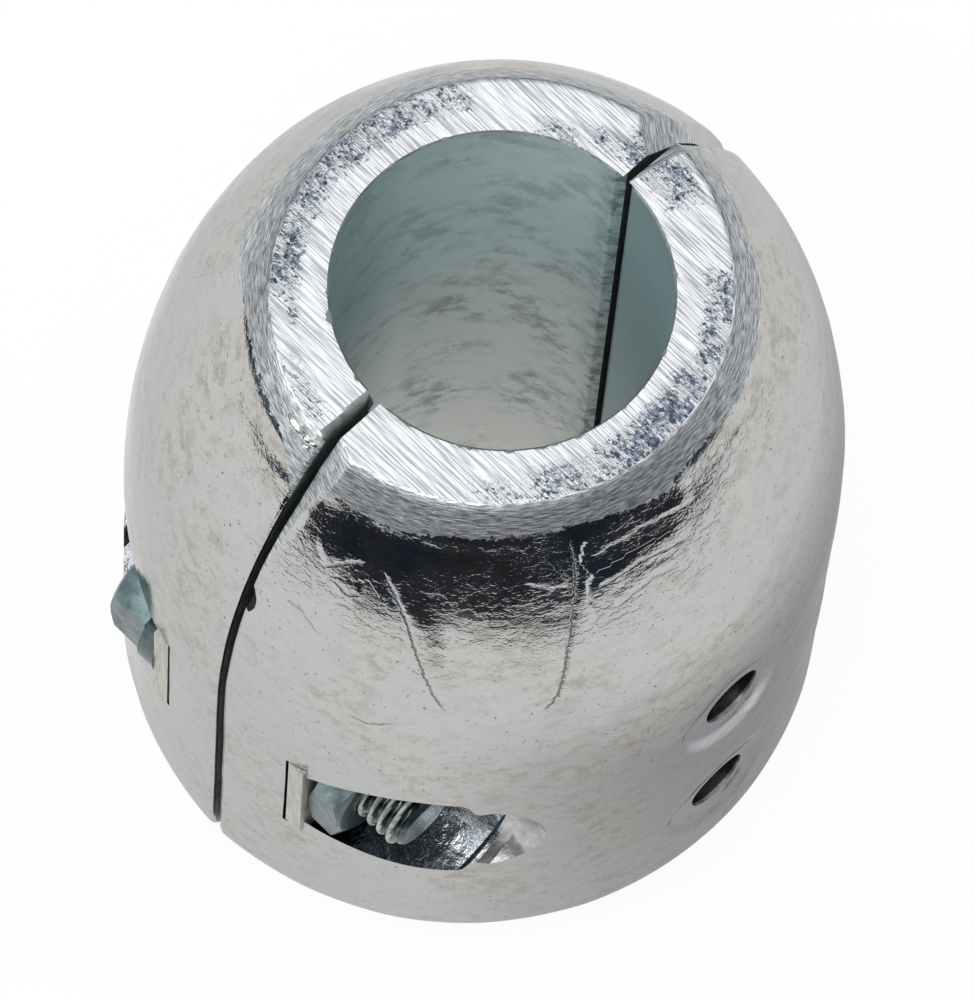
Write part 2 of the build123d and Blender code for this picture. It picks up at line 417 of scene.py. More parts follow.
# Blobs of spatter on the back half by the seam: middle, half length, half width, way it lies.
BEADS = (
    ((-17.9, 3.0, 61.22), 0.95, 0.42, (-0.24, -0.97, 0.0)),
    ((-18.1, 1.6, 61.25), 0.5, 0.36, (-0.2, -0.9, 0.3)),
    ((-18.1, 0.95, 61.3), 0.36, 0.28, (0.4, -0.9, 0.1)),
    ((-18.5, 1.35, 60.9), 0.36, 0.26, (0.1, -0.9, 0.3)),
)
# The nick in the near seam, cut with a blob of the same kind.
NICK = ((-25.75, -0.1, 46.6), 1.75, 1.05, (-0.35, 0.0, -0.94))
# The filed facet on the back half at the far seam: a point on its plane and the way it faces.
FACET_POINT = np.array([16.0, 1.2, 61.75])
FACET_NORMAL = np.array([0.59, -0.456, 0.666])
# The edges at the seam. The front half's near edge is bevelled, from CORNER_BEVEL wide at the ring
# to LOW_BEVEL at the height BEVEL_END, and its far edge is chamfered. The back half's near edge is
# rounded, and so is the end of its ring.
CORNER_BEVEL = 1.9
LOW_BEVEL = 0.5
BEVEL_END = 50.0
BEVEL_SLOPE = 0.5
SEAM_ROUND = 0.35
RING_ROUND = 1.0
FAR_CHAMFER = 1.0
FAR_SLOPE = 0.5

# The cast skin: how far it lies inside the frame's solid, so that nothing stands proud of it, and
# the length and height of its waves, wrinkles and creases, and of the burr round the bore's mouth.
SKIN_INSET = 0.22
WAVE_LENGTH = 11.0
WAVE_HEIGHT = 0.09
WRINKLE_LENGTH = 2.4
WRINKLE_STRETCH = 0.3
WRINKLE_HEIGHT = 0.03
CREASE_HEIGHT = 0.07
CREASE_REACH = 3.0
CREASE_MARGIN = 22.0
CREASE_RADIUS = 22.0
BURR_HEIGHT = 0.6
BURR_START = 0.36

# The dents round the pin holes, measured from each hole's middle: floor, rim and lip.
DENT_DEPTH = 0.42
DENT_FLOOR = 3.0
DENT_SCOOP = 1.9
DENT_RIM = 5.8
LIP_RADIUS = 6.2
LIP_WIDTH = 0.6
LIP_HEIGHT = 0.03


def column_shares():
    """Where the columns stand round a half, from 0 to 1, closer together at the seam."""
    length = math.pi * BODY_R
    count = round((length - 2 * EDGE_STEPS[-1]) / COLUMN_STEP)
    middle = np.linspace(EDGE_STEPS[-1], length - EDGE_STEPS[-1], count)
    near = np.array(EDGE_STEPS[:-1])
    return np.concatenate([near, middle, length - near[::-1]]) / length


def arc_points(radius, centre_y, shares):
    """Points of a half circle at negative Y, from its -X end at the seam to its +X end."""
    dip = math.asin((SEAM_GAP / 2 + centre_y) / radius)
    angles = math.pi + dip + (math.pi - 2 * dip) * shares
    return np.stack([radius * np.cos(angles), centre_y + radius * np.sin(angles)], -1)


def nose_curve(count):
    """(radius, height) down the nose from the band to the side, as the frame's solid has it."""
    angle = math.radians(SHOULDER_ANGLE)
    start = np.array([BAND_R, HEIGHT - BAND_DEPTH])
    end = np.array([BODY_R, HEIGHT - NOSE_LENGTH])
    first = start + SHOULDER_PULL * np.array([math.cos(angle), -math.sin(angle)])
    second = end + np.array([0, SIDE_PULL])
    t = np.linspace(0, 1, count)[:, None]
    ends = (1 - t) ** 3 * start + 3 * (1 - t) ** 2 * t * first
    return ends + 3 * (1 - t) * t**2 * second + t**3 * end


def section_rows():
    """The half section as (kind, radius, height, share from bore to ring) rows, bore first."""
    rows = [(BORE, BORE_R, z, 0.0) for z in np.linspace(0, HEIGHT - RIM, BORE_ROWS)]
    share = RIM / (RING_R - BORE_R)
    rows += [(RING, 0.0, HEIGHT, t) for t in np.linspace(share, 1 - share, RING_ROWS)]
    for t in (RIM / BAND_SLANT, *BAND_ROWS):
        rows.append((BAND, RING_R + t * (BAND_R - RING_R), HEIGHT - t * BAND_DEPTH, 0.0))
    rows += [(SKIN, r, z, 0.0) for r, z in nose_curve(NOSE_ROWS)[1:]]
    side = np.linspace(HEIGHT - NOSE_LENGTH, BASE_ROUND, SIDE_ROWS)
    rows += [(SKIN, BODY_R, z, 0.0) for z in side[1:]]
    for turn in np.linspace(0, math.pi / 2, ROUND_ROWS)[1:]:
        radius = BODY_R - BASE_ROUND * (1 - math.cos(turn))
        rows.append((SKIN, radius, BASE_ROUND * (1 - math.sin(turn)), 0.0))
    rows += [(BASE, 0.0, 0.0, t) for t in np.linspace(0, 1, BASE_ROWS)[1:-1]]
    return rows


BAND_SLANT = math.hypot(BAND_R - RING_R, BAND_DEPTH)
NOSE_POINTS = nose_curve(400)
NOSE_DROPS = HEIGHT - NOSE_POINTS[:, 1]
NOSE_LENGTHS = np.concatenate([[0], np.cumsum(np.hypot(*np.diff(NOSE_POINTS, axis=0).T))])


def smooth(value, low, high):
    """0 at low and 1 at high, with an even ease between; low may be the larger."""
    t = min(max((value - low) / (high - low), 0.0), 1.0)
    return t * t * (3 - 2 * t)


def skin_relief(x, y, z, seed):
    """How far the cast skin stands out at a point by its waves and wrinkles, in millimetres."""
    wide = noise.fractal(Vector((x, y, z)) / WAVE_LENGTH + Vector((seed, 0, 0)), 1.0, 2.0, 3)
    drawn = Vector((x * WRINKLE_STRETCH, y * WRINKLE_STRETCH, z)) / WRINKLE_LENGTH
    wrinkle = noise.fractal(drawn + Vector((0, seed, 0)), 0.9, 2.0, 3)
    lumpy = 0.3 + 0.7 * smooth(z, 44, 54)
    return WAVE_HEIGHT * wide + WRINKLE_HEIGHT * wrinkle * lumpy


def line_distance(u, v, points):
    """Signed distance from (u, v) to a broken line, and how far along it, from 0 to 1."""
    best = (1e9, 1.0, 0.0)
    count = len(points) - 1
    for k in range(count):
        au, av = points[k]
        bu, bv = points[k + 1]
        du, dv = bu - au, bv - av
        share = min(max(((u - au) * du + (v - av) * dv) / (du * du + dv * dv), 0.0), 1.0)
        away = math.hypot(u - au - share * du, v - av - share * dv)
        if away < best[0]:
            cross = du * (v - av) - dv * (u - au)
            best = (away, math.copysign(1, cross), (k + share) / count)
    return best


def crease_at(angle, z):
    """Signed distance to the nearest flow crease in millimetres, and how strong it is there."""
    nearest, strength = CREASE_REACH, 0.0
    scale = math.radians(CREASE_RADIUS)
    for points, strong in CREASES:
        if not points[0][0] - CREASE_MARGIN < angle < points[-1][0] + CREASE_MARGIN:
            continue
        flat = [(a * scale, h) for a, h in points]
        away, side, along = line_distance(angle * scale, z, flat)
        if away < abs(nearest):
            nearest = away * side
            fade = smooth(along, 0.0, 0.1) * (1 - smooth(along, 0.85, 1.0))
            strength = strong * fade * (1 - smooth(away, 0.6, 2.6))
    return nearest, strength


def crease_relief(angle, z):
    """How far the skin stands out by a crease, in millimetres: higher on one side of it."""
    away, strength = crease_at(angle, z)
    return CREASE_HEIGHT * strength * smooth(away, -0.3, 0.5)


def half_mesh(name, seed, half_turn):
    """One casting at negative Y before its pockets are cut, with a material number on each face."""
    shares = column_shares()
    rows = section_rows()
    ring_outer = arc_points(RING_R, HALF_CLOSING, shares)
    ring_inner = arc_points(BORE_R, 0.0, shares)
    base_outer = arc_points(BODY_R - BASE_ROUND, HALF_CLOSING, shares)
    points = []
    for kind, radius, z, share in rows:
        if kind == BORE:
            flat = arc_points(radius, 0.0, shares)
        elif kind == RING:
            flat = ring_inner + share * (ring_outer - ring_inner)
        elif kind == BASE:
            flat = base_outer + share * (ring_inner - base_outer)
        else:
            flat = arc_points(radius, HALF_CLOSING, shares)
        points.append(np.column_stack([flat, np.full(len(flat), z)]))
    grid = np.array(points)
    relieve(grid, rows, seed, half_turn)
    return grid_object(name, grid, rows, half_turn)


def rounding(gap, radius):
    """How far an edge of this radius is taken in at a distance gap from it."""
    left = min(max(radius - gap, 0.0), radius)
    return radius - math.sqrt(radius**2 - left**2)


def seam_edge_relief(x, z, gap, radius, half_turn):
    """How far the outer edges at the seam are taken in, in millimetres."""
    if x > 0 and half_turn:
        return rounding(gap, SEAM_ROUND) * smooth(radius, RING_R, BAND_R)
    if x > 0:
        fade = 1 - 0.6 * smooth(z, 58, 50)
        return max(FAR_CHAMFER - gap, 0.0) * smooth(radius, RING_R, BAND_R) * fade
    if half_turn:
        return max(SEAM_BEVEL - gap, 0.0) * smooth(radius, BAND_R, BAND_R + 1.0)
    up = min(max((z - BEVEL_END) / (HEIGHT - BEVEL_END), 0.0), 1.0)
    width = LOW_BEVEL + (CORNER_BEVEL - LOW_BEVEL) * up
    return BEVEL_SLOPE * max(width - gap, 0.0)


def dent_relief(x, y, z):
    """The shallow dents round the pin holes, each scooped towards the base, in millimetres."""
    total = 0.0
    along = (math.atan2(y, x) + math.pi / 2) * BODY_R
    for side in (-1, 1):
        below = BOLT_Z + side * PIN_OFFSET - z
        away = math.hypot(along, below)
        steep = smooth(below - 0.5 * along, -1.0, 3.0)
        total += DENT_DEPTH * (1 - smooth(away, DENT_FLOOR + DENT_SCOOP * steep, DENT_RIM))
        total -= LIP_HEIGHT * steep * math.exp(-(((away - LIP_RADIUS) / LIP_WIDTH) ** 2))
    return total


def relieve(grid, rows, seed, half_turn):
    """Moves a half's points in by the cast relief, and eases and files its edges at the seam."""
    last = grid.shape[1] - 1
    way = -1 if half_turn else 1
    facet_normal = FACET_NORMAL * (way, way, 1)
    facet_point = FACET_POINT * (way, way, 1)
    for i, (kind, radius, z, share) in enumerate(rows):
        for j in range(last + 1):
            x, y, _ = grid[i, j]
            gap = -y - SEAM_GAP / 2
            angle = math.degrees(math.atan2(y, x))
            if kind == BORE:
                grid[i, j, 0] = x * (1 + max(EDGE_BREAK - gap, 0.0) / BORE_R)
                continue
            if kind == BASE:
                continue
            if kind == RING:
                inward = share * seam_edge_relief(x, z, gap, RING_R, half_turn)
                rim = noise.fractal(Vector((x, y, seed)) * 1.1, 1.0, 2.0, 3)
                if i > 0 and rows[i - 1][0] == BORE:
                    inward -= 0.05 + BURR_HEIGHT * max(rim - BURR_START, 0.0)
                if half_turn and x > 0:
                    grid[i, j, 2] -= rounding(gap, RING_ROUND)
                if not half_turn and x > 0:
                    grid[i, j, 2] -= FAR_SLOPE * max(share * FAR_CHAMFER - gap, 0.0)
            else:
                inward = seam_edge_relief(x, z, gap, radius, half_turn)
                if not half_turn and x > 0 and kind == BAND:
                    share_up = 1 - (HEIGHT - z) / BAND_DEPTH
                    grid[i, j, 2] -= FAR_SLOPE * max(FAR_CHAMFER - gap, 0.0) * share_up
            if kind == SKIN:
                cast = SKIN_INSET - skin_relief(x, y, z, seed) + dent_relief(x, y, z)
                if not half_turn:
                    cast -= crease_relief(angle, z)
                inward += cast * smooth(radius, BAND_R, BAND_R + 1.2) * smooth(z, 0.0, 1.0)
            centre = np.array([x, y - HALF_CLOSING])
            moved = grid[i, j, :2] - centre / np.linalg.norm(centre) * inward
            grid[i, j, 0] = moved[0]
            grid[i, j, 1] = moved[1] if 0 < j < last else y
            if half_turn:
                proud = float(np.dot(grid[i, j] - facet_point, facet_normal))
                if proud > 0 and 0 < j < last:
                    grid[i, j] -= facet_normal * proud
                elif proud > 0:
                    flat = facet_normal * (1, 0, 1)
                    grid[i, j] -= flat * proud / float(np.dot(flat, flat))


def grid_object(name, grid, rows, half_turn):
    """The closed mesh of a half from its grid of points, with material numbers by row."""
    row_count, column_count = grid.shape[:2]
    bm = bmesh.new()
    verts = [[bm.verts.new(grid[i, j] * MM) for j in range(column_count)] for i in range(row_count)]
    for i in range(row_count):
        below = (i + 1) % row_count
        kind = rows[below][0] if below else BASE
        # The edge of the bore's mouth takes the seam's dark grey, a painted shade.
        if rows[i][0] == BORE and kind == RING:
            kind = SEAM
        for j in range(column_count - 1):
            corners = (verts[i][j], verts[i][j + 1], verts[below][j + 1], verts[below][j])
            face = bm.faces.new(corners)
            face.material_index = SHADE_OF[kind]
            middle = face.calc_center_median() / MM
            # The ring's sloped ends take the band's material, or on the back half's near end the
            # seam's dark grey, a painted shade.
            if kind == RING and middle.z < HEIGHT - 0.02:
                face.material_index = SHADE_OF[SEAM if half_turn and middle.x > 0 else BAND]
    for j in (0, column_count - 1):
        loop = [verts[i][j] for i in range(row_count)]
        bm.faces.new(loop).material_index = SHADE_OF[SEAM]
    bmesh.ops.recalc_face_normals(bm, faces=bm.faces)
    return new_object(name, finished_mesh(name, bm))


def finished_mesh(name, bm):
    """A mesh of what bm holds, which is then freed."""
    mesh = bpy.data.meshes.new(name)
    bm.to_mesh(mesh)
    bm.free()
    return mesh


def new_object(name, mesh):
    made = bpy.data.objects.new(name, mesh)
    bpy.context.scene.collection.objects.link(made)
    return made


def join_rings(bm, rings):
    """Faces between each ring of points and the next, closed round the axis."""
    for first, second in zip(rings, rings[1:]):
        for k in range(len(first)):
            after = (k + 1) % len(first)
            bm.faces.new((first[k], first[after], second[after], second[k]))


def lathe(name, outline, material, segments=96):
    """A closed solid turned round the Y axis from (distance along -Y, radius) points."""
    bm = bmesh.new()
    rings = []
    for along, radius in outline:
        angles = [2 * math.pi * k / segments for k in range(segments)]
        ring = [bm.verts.new((radius * math.cos(a), -along, radius * math.sin(a))) for a in angles]
        rings.append(ring)
    join_rings(bm, rings)
    bm.faces.new(rings[0])
    bm.faces.new(rings[-1])
    bmesh.ops.recalc_face_normals(bm, faces=bm.faces)
    bmesh.ops.scale(bm, vec=(MM, MM, MM), verts=bm.verts)
    mesh = finished_mesh(name, bm)
    mesh.materials.append(material)
    return new_object(name, mesh)


def block(name, low, high, material):
    """A box between two corners, in millimetres."""
    bm = bmesh.new()
    bmesh.ops.create_cube(bm, size=1)
    size = Vector(high) - Vector(low)
    middle = (Vector(high) + Vector(low)) / 2
    bmesh.ops.scale(bm, vec=size * MM, verts=bm.verts)
    bmesh.ops.translate(bm, vec=middle * MM, verts=bm.verts)
    mesh = finished_mesh(name, bm)
    mesh.materials.append(material)
    return new_object(name, mesh)


# The cores that cut a half: how much the rib's edges are eased, how the run-out and the pin holes
# narrow, the room round a strap's lug, and how far from the shaft's axis that room starts.
RIB_EASE = 0.35
RUNOUT_DRAFT = 0.3
PIN_DRAFT = 0.15
PIN_MOUTH = 0.7
LUG_ROOM = 0.25
LUG_ROOM_START = 24.6


def cutters(pocket_shade, dish_shade, hole_shade):
    """The cores that leave pockets, bolt holes, lug gaps and pin holes in a half at negative Y."""
    made = []
    rib_end = POCKET_END + RIB_WIDTH
    outline = [
        (LUG_SEAT, POCKET_R),
        (POCKET_END - RIB_EASE, POCKET_R),
        (POCKET_END, POCKET_R - RIB_EASE),
        (POCKET_END + RIB_EASE, RIB_R),
        (rib_end - RIB_EASE, RIB_R),
        (rib_end + RIB_EASE, RUNOUT_R),
        (BODY_R, RUNOUT_R - RUNOUT_DRAFT),
        (2 * BODY_R, RUNOUT_R - RUNOUT_DRAFT),
    ]
    hole_radius = BOLT_R + HOLE_CLEARANCE
    skin = BODY_R - HALF_CLOSING - SKIN_INSET - DENT_DEPTH
    pin_outline = [
        (PIN_FLOOR, PIN_R - PIN_DRAFT),
        (skin - 0.3, PIN_R),
        (skin + 2.0, PIN_R + PIN_MOUTH),
    ]
    for side in (-1, 1):
        place = Vector((side * BOLT_OFFSET, 0, BOLT_Z)) * MM
        pocket = lathe("pocket", outline, pocket_shade)
        pocket.data.materials.append(runout_zinc)
        for face in pocket.data.polygons:
            face.material_index = int(-face.center.y > rib_end * MM)
        hole = lathe("hole", [(-1, hole_radius), (LUG_SEAT + 1, hole_radius)], hole_shade, 48)
        for cutter in (pocket, hole):
            cutter.data.transform(Matrix.Translation(place))
            made.append(cutter)
        near, far = sorted((side * LUG_ROOM_START, side * 2 * BODY_R))
        low = (near, -LUG_SEAT, BOLT_Z - STRAP_HEIGHT / 2 - LUG_ROOM)
        inner = -LUG_SEAT + STRAP_THICKNESS + LUG_ROOM
        high = (far, inner, BOLT_Z + STRAP_HEIGHT / 2 + LUG_ROOM / 2)
        made.append(block("lug_gap", low, high, hole_shade))
        pin = lathe("pin_hole", pin_outline, dish_shade)
        pin.data.materials.append(hole_shade)
        for face in pin.data.polygons:
            reach = max(math.hypot(*pin.data.vertices[v].co.xz) for v in face.vertices)
            face.material_index = int(reach < (PIN_R + 0.03) * MM)
        pin.data.transform(Matrix.Translation(Vector((0, 0, BOLT_Z + side * PIN_OFFSET)) * MM))
        made.append(pin)
    return made


def bead(place, length, width, way, shade):
    """An uneven blob at a place, by its half length and half width, lying along way."""
    bm = bmesh.new()
    bmesh.ops.create_icosphere(bm, subdivisions=3, radius=1)
    turn = Vector(way).to_track_quat("X", "Z").to_matrix().to_4x4()
    sized = Matrix.Diagonal((length, width, width, 1))
    bm.transform(Matrix.Scale(MM, 4) @ Matrix.Translation(place) @ turn @ sized)
    for vert in bm.verts:
        vert.co += Vector((1, 1, 1)) * 0.06 * MM * noise.noise(vert.co / MM * 3)
    mesh = finished_mesh("bead", bm)
    mesh.materials.append(shade)
    return new_object("bead", mesh)


def cut(target, tools, operation="DIFFERENCE"):
    """Takes the tools' volume out of the target, or adds it, and applies that."""
    for tool in tools:
        modifier = target.modifiers.new("cut", "BOOLEAN")
        modifier.operation = operation
        modifier.solver = "EXACT"
        modifier.material_mode = "TRANSFER"
        modifier.object = tool
    graph = bpy.context.evaluated_depsgraph_get()
    mesh = bpy.data.meshes.new_from_object(target.evaluated_get(graph))
    target.modifiers.clear()
    target.data = mesh
    for tool in tools:
        bpy.data.objects.remove(tool)


def drop_slivers(mesh):
    """Splits a cut piece's faces into triangles and drops the ones with no area."""
    bm = bmesh.new()
    bm.from_mesh(mesh)
    bmesh.ops.triangulate(bm, faces=bm.faces)
    bmesh.ops.dissolve_degenerate(bm, dist=0.0005 * MM, edges=bm.edges)
    bmesh.ops.triangulate(bm, faces=bm.faces)
    bm.to_mesh(mesh)
    bm.free()


def angle_window(angle, centre, half_width, soft):
    """1 within half_width of the centre angle, all in degrees, falling to 0 over soft."""
    away = abs((angle - centre + 180) % 360 - 180)
    return 1 - smooth(away, half_width, half_width + soft)


def nose_distance(z):
    """Distance down the outside from the ring's edge, in millimetres, from a point's height."""
    if z > HEIGHT - BAND_DEPTH:
        return (HEIGHT - z) / BAND_DEPTH * BAND_SLANT
    return BAND_SLANT + float(np.interp(HEIGHT - z, NOSE_DROPS, NOSE_LENGTHS))


# Where masks fade, in millimetres: the skin gets calm below the nose, the bore's painted light
# grows with depth, the dents' painted reflection ends at their rim, and the ring's patches show on
# its top only. The turning marks are drawn out this much along the band.
CALM_FADE = (40, 54)
BORE_FADE = (12, 52)
DISH_FADE = (4.6, 6.4)
RING_TOP = HEIGHT - 0.5
TURNING_STRETCH = 0.09
MASKS = (
    "ring_patch",
    "border",
    "turn_line",
    "turn_arc",
    "calm",
    "dish",
    "bore_depth_light",
    "crease",
    "crease_strength",
)


def patch_share(angle, radius):
    """How rough the ring is at a point, from 0 to 1."""
    rough = 0.0
    for centre, half_width, inner, outer, strength in RING_PATCHES:
        share = angle_window(angle, centre, half_width, 7)
        share *= smooth(radius, inner - 0.5, inner + 0.5)
        share *= 1 - smooth(radius, outer - 0.3, outer + 0.2)
        rough = max(rough, strength * share)
    return rough


def paint_masks(piece):
    """Point masks for the materials: the band's border and turning lines, the ring's rough patches,
    the creases, the dents' painted reflection, where the skin is calm, and the bore's depth for its
    painted light."""
    mesh = piece.data
    masks = {name: [] for name in MASKS}
    edge_angles = [a for a, _ in BAND_BORDER]
    edge_lengths = [d for _, d in BAND_BORDER]
    for vertex in mesh.vertices:
        x, y, z = vertex.co / MM
        angle = math.degrees(math.atan2(y, x))
        radius = math.hypot(x, y)
        patch = patch_share(angle, radius) if z > RING_TOP else 0.0
        distance = nose_distance(z)
        border = distance - float(np.interp(angle, edge_angles, edge_lengths))
        along = (math.atan2(-abs(y), x) + math.pi / 2) * BODY_R
        dish = 0.0
        for side in (-1, 1):
            away = math.hypot(along, z - BOLT_Z - side * PIN_OFFSET)
            dish = max(dish, 1 - smooth(away, *DISH_FADE))
        masks["dish"].append(dish)
        masks["ring_patch"].append(patch)
        masks["border"].append(border)
        masks["turn_line"].append(distance)
        masks["turn_arc"].append(math.radians(angle) * BAND_R * TURNING_STRETCH)
        crease, strength = crease_at(angle, z)
        masks["crease"].append(crease)
        masks["crease_strength"].append(strength)
        masks["calm"].append(1 - smooth(z, *CALM_FADE))
        masks["bore_depth_light"].append(1 - smooth(z, *BORE_FADE))
    for name, values in masks.items():
        mesh.attributes.new(name, "FLOAT", "POINT").data.foreach_set("value", values)


def casting(name, seed, half_turn, bore_shade):
    """Makes a finished half in the place of its CAD node."""
    piece = half_mesh(name + "_cast", seed, half_turn)
    for shade in (bore_shade, ring_zinc, skin_zinc, shaded_seam_zinc):
        piece.data.materials.append(shade)
    tools = cutters(pocket_zinc, dish_zinc, shaded_hole_zinc)
    if not half_turn:
        tools.append(bead(*NICK, shaded_hole_zinc))
    cut(piece, tools)
    if half_turn:
        piece.data.transform(Matrix.Rotation(math.pi, 4, "Z"))
        cut(piece, [bead(*spec, bead_zinc) for spec in BEADS], "UNION")
    drop_slivers(piece.data)
    paint_masks(piece)
    piece.data.set_sharp_from_angle(angle=math.radians(32))
    piece.data.shade_smooth()
    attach(piece, "root")
    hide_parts(name)


# ---- Bolts ----

# The thread and the head in millimetres, and how fine the mesh is. Faces within CREST_DEPTH of the
# thread's top take the crests' pale material: wear, and a painted highlight.
THREAD_PITCH = 1.0
THREAD_DEPTH = 0.6
TIP_CHAMFER = 0.7
FACE_SHARE = 0.95
FOOT_EASE = 0.15
BOLT_SEGMENTS = 72
BOLT_STEP = 0.1
CREST_DEPTH = 0.3


def hex_reach(angle):
    """Distance from the axis to a hexagon's side at this angle, flats facing 0 degrees."""
    away = (angle + math.pi / 6) % (math.pi / 3) - math.pi / 6
    return ACROSS_FLATS / 2 / math.cos(away)


def bolt_mesh():
    """A bolt on the Z axis, bearing face at z = 0 and shank rising, with a real helical thread."""
    drop = math.tan(math.radians(30))
    angles = [2 * math.pi * k / BOLT_SEGMENTS for k in range(BOLT_SEGMENTS)]
    reaches = [hex_reach(a) for a in angles]
    rows = [[(0.0, -HEAD_HEIGHT)] * BOLT_SEGMENTS]
    flat_radius = FACE_SHARE * ACROSS_FLATS / 2
    rows.append([(flat_radius, -HEAD_HEIGHT)] * BOLT_SEGMENTS)
    rows.append([(reach, -HEAD_HEIGHT + drop * (reach - flat_radius)) for reach in reaches])
    rows.append([(reach, -FOOT_EASE) for reach in reaches])
    rows.append([(reach - FOOT_EASE, 0.0) for reach in reaches])
    rows.append([(BOLT_R, 0.0)] * BOLT_SEGMENTS)
    count = round(BOLT_LENGTH / BOLT_STEP)
    for i in range(1, count + 1):
        z = i * BOLT_STEP
        row = []
        for a in angles:
            phase = (z / THREAD_PITCH - a / (2 * math.pi)) % 1.0
            groove = abs(2 * phase - 1)
            depth = THREAD_DEPTH * smooth(groove, 0.12, 0.9) * smooth(z, 1.0, 2.0)
            tip = max(z - (BOLT_LENGTH - TIP_CHAMFER), 0.0)
            row.append((min(BOLT_R - depth, BOLT_R - tip), z))
        rows.append(row)
    rows.append([(0.0, BOLT_LENGTH)] * BOLT_SEGMENTS)
    bm = bmesh.new()
    rings = []
    for row in rows:
        ring = []
        for a, (radius, z) in zip(angles, row):
            point = (radius * math.cos(a) * MM, radius * math.sin(a) * MM, z * MM)
            ring.append(bm.verts.new(point))
        rings.append(ring)
    join_rings(bm, rings)
    bmesh.ops.remove_doubles(bm, verts=bm.verts, dist=1e-7)
    bmesh.ops.recalc_face_normals(bm, faces=bm.faces)
    for face in bm.faces:
        reach = min(math.hypot(v.co.x, v.co.y) for v in face.verts) / MM
        height = face.calc_center_median().z / MM
        threaded = 2.0 < height < BOLT_LENGTH - TIP_CHAMFER
        face.material_index = int(threaded and reach > BOLT_R - CREST_DEPTH)
    return finished_mesh("bolt", bm)


def add_bolt(name, side, shade):
    """Makes a threaded bolt in the place of its CAD node, with its head in the back half."""
    mesh = bolt_mesh()
    turn = Matrix.Rotation(math.pi / 2, 4, "X")
    seat = LUG_SEAT + WASHER_THICKNESS
    place = Matrix.Translation(Vector((side * BOLT_OFFSET, seat, BOLT_Z)) * MM)
    mesh.transform(place @ turn)
    mesh.materials.append(shade)
    mesh.materials.append(crest_wear_and_glint_steel)
    mesh.shade_smooth()
    mesh.set_sharp_from_angle(angle=math.radians(35))
    piece = new_object(name + "_threaded", mesh)
    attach(piece, "root")
    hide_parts(name)


# ---- Studio ----

# The side on which the tent is open, and how bright the tent is low down and overhead.
OPEN_SIDE = math.radians(-129.7)
ROOM_LOW = 0.45
ROOM_HIGH = 0.72
# The lit table: how far it goes towards the open side and all round, in metres, and the share of
# its own glow for the light it gives, for its mirror image and for the camera.
TABLE_FRONT = 0.15
TABLE_REACH = 0.42
TABLE_GLOW = 0.35
MIRRORED_GLOW = 0.6
SEEN_GLOW = 0.9
GLOW_STRENGTH = 1.03
# The collar's own contact shade, which its skin mirrors on one side.
SHADE_SIDE = math.radians(-55)
SHADE_REACH = 0.036
SHADE_SOFT = 0.03
# The soft lights: place in metres, size, and brightness.
LIGHTS = (
    ("above", (0.12, 0.12, 0.7), 0.6, 0.78),
    ("left", (-0.46, 0.34, 0.45), 0.42, 1.7),
    ("right", (0.5, -0.3, 0.42), 0.3, 0.9),
    ("mouth", (-0.3, -0.1, 0.6), 0.22, 3.7),
)


def level_direction(angle):
    """The level direction at an angle round the Z axis."""
    return (math.cos(angle), math.sin(angle), 0)


def area_light(name, place, size, brightness):
    """A square soft light that faces the collar, as bright all over as it is asked to look."""
    data = bpy.data.lights.new(name, "AREA")
    data.shape = "SQUARE"
    data.size = size
    data.energy = brightness * math.pi * size**2
    light = bpy.data.objects.new(name, data)
    light.location = place
    aim = Vector((0, 0, 0.03)) - Vector(place)
    light.rotation_euler = aim.to_track_quat("-Z", "Y").to_euler()
    bpy.context.scene.collection.objects.link(light)


def room():
    """A light tent over the table, open and dark low down, and darkest on its open side."""
    world = bpy.data.worlds.new("room")
    bpy.context.scene.world = world
    world.use_nodes = True
    tree = world.node_tree

    def ranged(value, low, high, to_low, to_high, **settings):
        inputs = {"Value": value, 1: low, 2: high, 3: to_low, 4: to_high}
        return add_node(tree, "ShaderNodeMapRange", inputs, **settings).outputs[0]

    def hues(factor, first, second):
        inputs = {0: factor, 6: first, 7: second}
        return add_node(tree, "ShaderNodeMix", inputs, data_type="RGBA").outputs[2]

    direction = add_node(tree, "ShaderNodeTexCoord").outputs["Generated"]
    height = add_node(tree, "ShaderNodeSeparateXYZ", {0: direction}).outputs["Z"]
    aim = {0: direction, 1: level_direction(OPEN_SIDE)}
    facing = add_node(tree, "ShaderNodeVectorMath", aim, operation="DOT_PRODUCT").outputs["Value"]
    front = ranged(facing, 0.2, 0.6, 0.16, 0.02)
    rise = ranged(height, 0.16, 0.42, 0, 1, interpolation_type="SMOOTHSTEP")
    tent = ranged(height, 0.3, 0.95, ROOM_LOW, ROOM_HIGH)
    levels = {0: rise, 2: front, 3: tent}
    glow = add_node(tree, "ShaderNodeMix", levels, data_type="FLOAT").outputs[0]
    spots = {"Vector": direction, "Scale": 4.0, "Detail": 1.0}
    patches = add_node(tree, "ShaderNodeTexNoise", spots).outputs["Fac"]
    low = hues(ranged(patches, 0.56, 0.6, 0, 1), (0.7, 0.95, 1.3, 1), (1.4, 1.0, 0.85, 1))
    hue = hues(rise, low, (0.97, 0.99, 1, 1))
    background = tree.nodes["Background"]
    tree.links.new(hue, background.inputs["Color"])
    tree.links.new(glow, background.inputs["Strength"])


